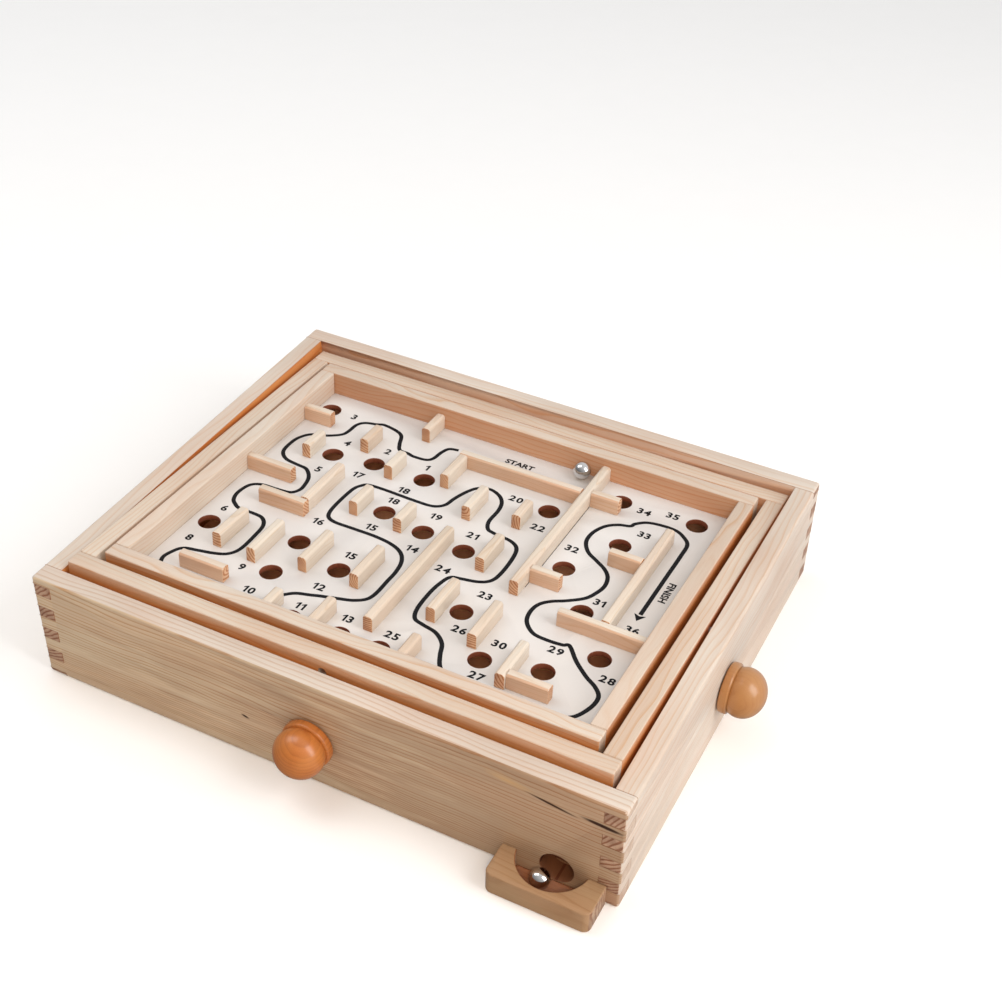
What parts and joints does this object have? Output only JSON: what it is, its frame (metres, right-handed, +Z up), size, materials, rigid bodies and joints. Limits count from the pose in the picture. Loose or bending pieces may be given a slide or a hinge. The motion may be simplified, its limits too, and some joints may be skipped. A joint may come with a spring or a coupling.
{
  "type": "tilt maze game",
  "caption": "Wooden box with a maze board hung in two nested tilting frames, two side knobs that tip it, and a front tray that catches fallen balls.",
  "frame": {"origin": "middle of the underside of the box, on the table (knobs and tray not counted)", "axes": "+X to the player's right, +Y away from the player, +Z up; the front knob and the tray are on the -Y side"},
  "size_m": [0.32, 0.265, 0.0663],
  "materials": {
    "box_pine": "clear satin varnish over pale pine with fine grain, darker on the front panel",
    "ring_pine": "clear satin varnish over golden pine",
    "frame_pine": "clear satin varnish over pale pine",
    "inner_pine": "bare sawn pine",
    "tray_wood": "clear satin varnish, with the pocket milled in",
    "hardboard": "smooth brown hardboard",
    "ramp_card": "smooth brown hardboard, worn where the balls roll",
    "printed_board": "off-white printed hardboard with a black path and numbers, and brown hole edges",
    "wall_pine": "pale pine strips with tan end grain",
    "steel_wire": "drawn steel wire",
    "knob_wood": "turned hardwood under glossy honey-orange lacquer",
    "ball_steel": "polished bearing steel"
  },
  "bodies": {
    "box": {"front_panel": "box_pine", "back_panel": "box_pine", "left_panel": "box_pine", "right_panel": "box_pine", "base_panel": "hardboard", "ball_ramp": "ramp_card", "ramp_blocks": "inner_pine", "corner_guide": "inner_pine", "ball_tray": "tray_wood", "shaft_post": "inner_pine"},
    "outer_frame": {"ring_front": "ring_pine", "ring_back": "ring_pine", "ring_left": "ring_pine", "ring_right": "ring_pine", "ring_pins": "steel_wire", "ring_eyes": "steel_wire"},
    "board": {"frame_front": "frame_pine", "frame_back": "frame_pine", "frame_left": "frame_pine", "frame_right": "frame_pine", "frame_pins": "steel_wire", "frame_eyes": "steel_wire", "maze_board": "printed_board", "start_lane_wall": "wall_pine", "start_side_wall": "wall_pine", "start_end_wall": "wall_pine", "start_end_stubs": "wall_pine", "finish_lane_wall": "wall_pine", "finish_lane_stub": "wall_pine", "finish_end_wall": "wall_pine", "middle_wall": "wall_pine", "back_wall": "wall_pine", "left_back_wall": "wall_pine", "left_wall": "wall_pine", "left_cross_wall": "wall_pine", "left_cross_stem": "wall_pine", "left_front_wall": "wall_pine", "right_front_foot": "wall_pine", "front_walls": "wall_pine", "short_wall_1": "wall_pine", "short_wall_2": "wall_pine", "short_wall_3": "wall_pine", "short_wall_4": "wall_pine", "short_wall_5": "wall_pine", "short_wall_6": "wall_pine", "short_wall_7": "wall_pine", "short_wall_8": "wall_pine", "short_wall_9": "wall_pine", "short_wall_10": "wall_pine", "short_wall_11": "wall_pine", "short_wall_12": "wall_pine", "short_wall_13": "wall_pine", "short_wall_14": "wall_pine", "short_wall_15": "wall_pine"},
    "front_knob": {"front_knob": "knob_wood", "front_shaft": "steel_wire"},
    "right_knob": {"right_knob": "knob_wood", "right_shaft": "steel_wire"},
    "start_ball": {"start_ball": "ball_steel"},
    "tray_ball": {"tray_ball": "ball_steel"}
  },
  "joints": [
    {"name": "outer_frame_tilt", "type": "hinge", "parent": "box", "child": "outer_frame", "pos_m": [0, 0, 0.053], "axis": [1, 0, 0], "range_deg": [-2.5, 7.5]},
    {"name": "board_tilt", "type": "hinge", "parent": "outer_frame", "child": "board", "pos_m": [0, 0, 0.053], "axis": [0, 0.999, -0.0436], "range_deg": [-5, 5]},
    {"name": "right_knob_turn", "type": "hinge", "parent": "box", "child": "right_knob", "pos_m": [0.15, -0.004, 0.027], "axis": [1, 0, 0], "range_deg": [-21.5, 64]},
    {"name": "front_knob_turn", "type": "hinge", "parent": "box", "child": "front_knob", "pos_m": [0, -0.1225, 0.027], "axis": [0, 1, 0], "range_deg": [-42.5, 42.5]},
    {"name": "start_ball_lift", "type": "slide", "parent": "board", "child": "start_ball", "axis": [0, 0.0436, 0.999], "range_m": [0, 0.04]},
    {"name": "tray_ball_lift", "type": "slide", "parent": "box", "child": "tray_ball", "axis": [0, 0, 1], "range_m": [0, 0.03]}
  ],
  "couplings": [
    {"joint": "right_knob_turn", "follows": "outer_frame_tilt", "ratio": 8.4},
    {"joint": "front_knob_turn", "follows": "board_tilt", "ratio": 8.4}
  ]
}
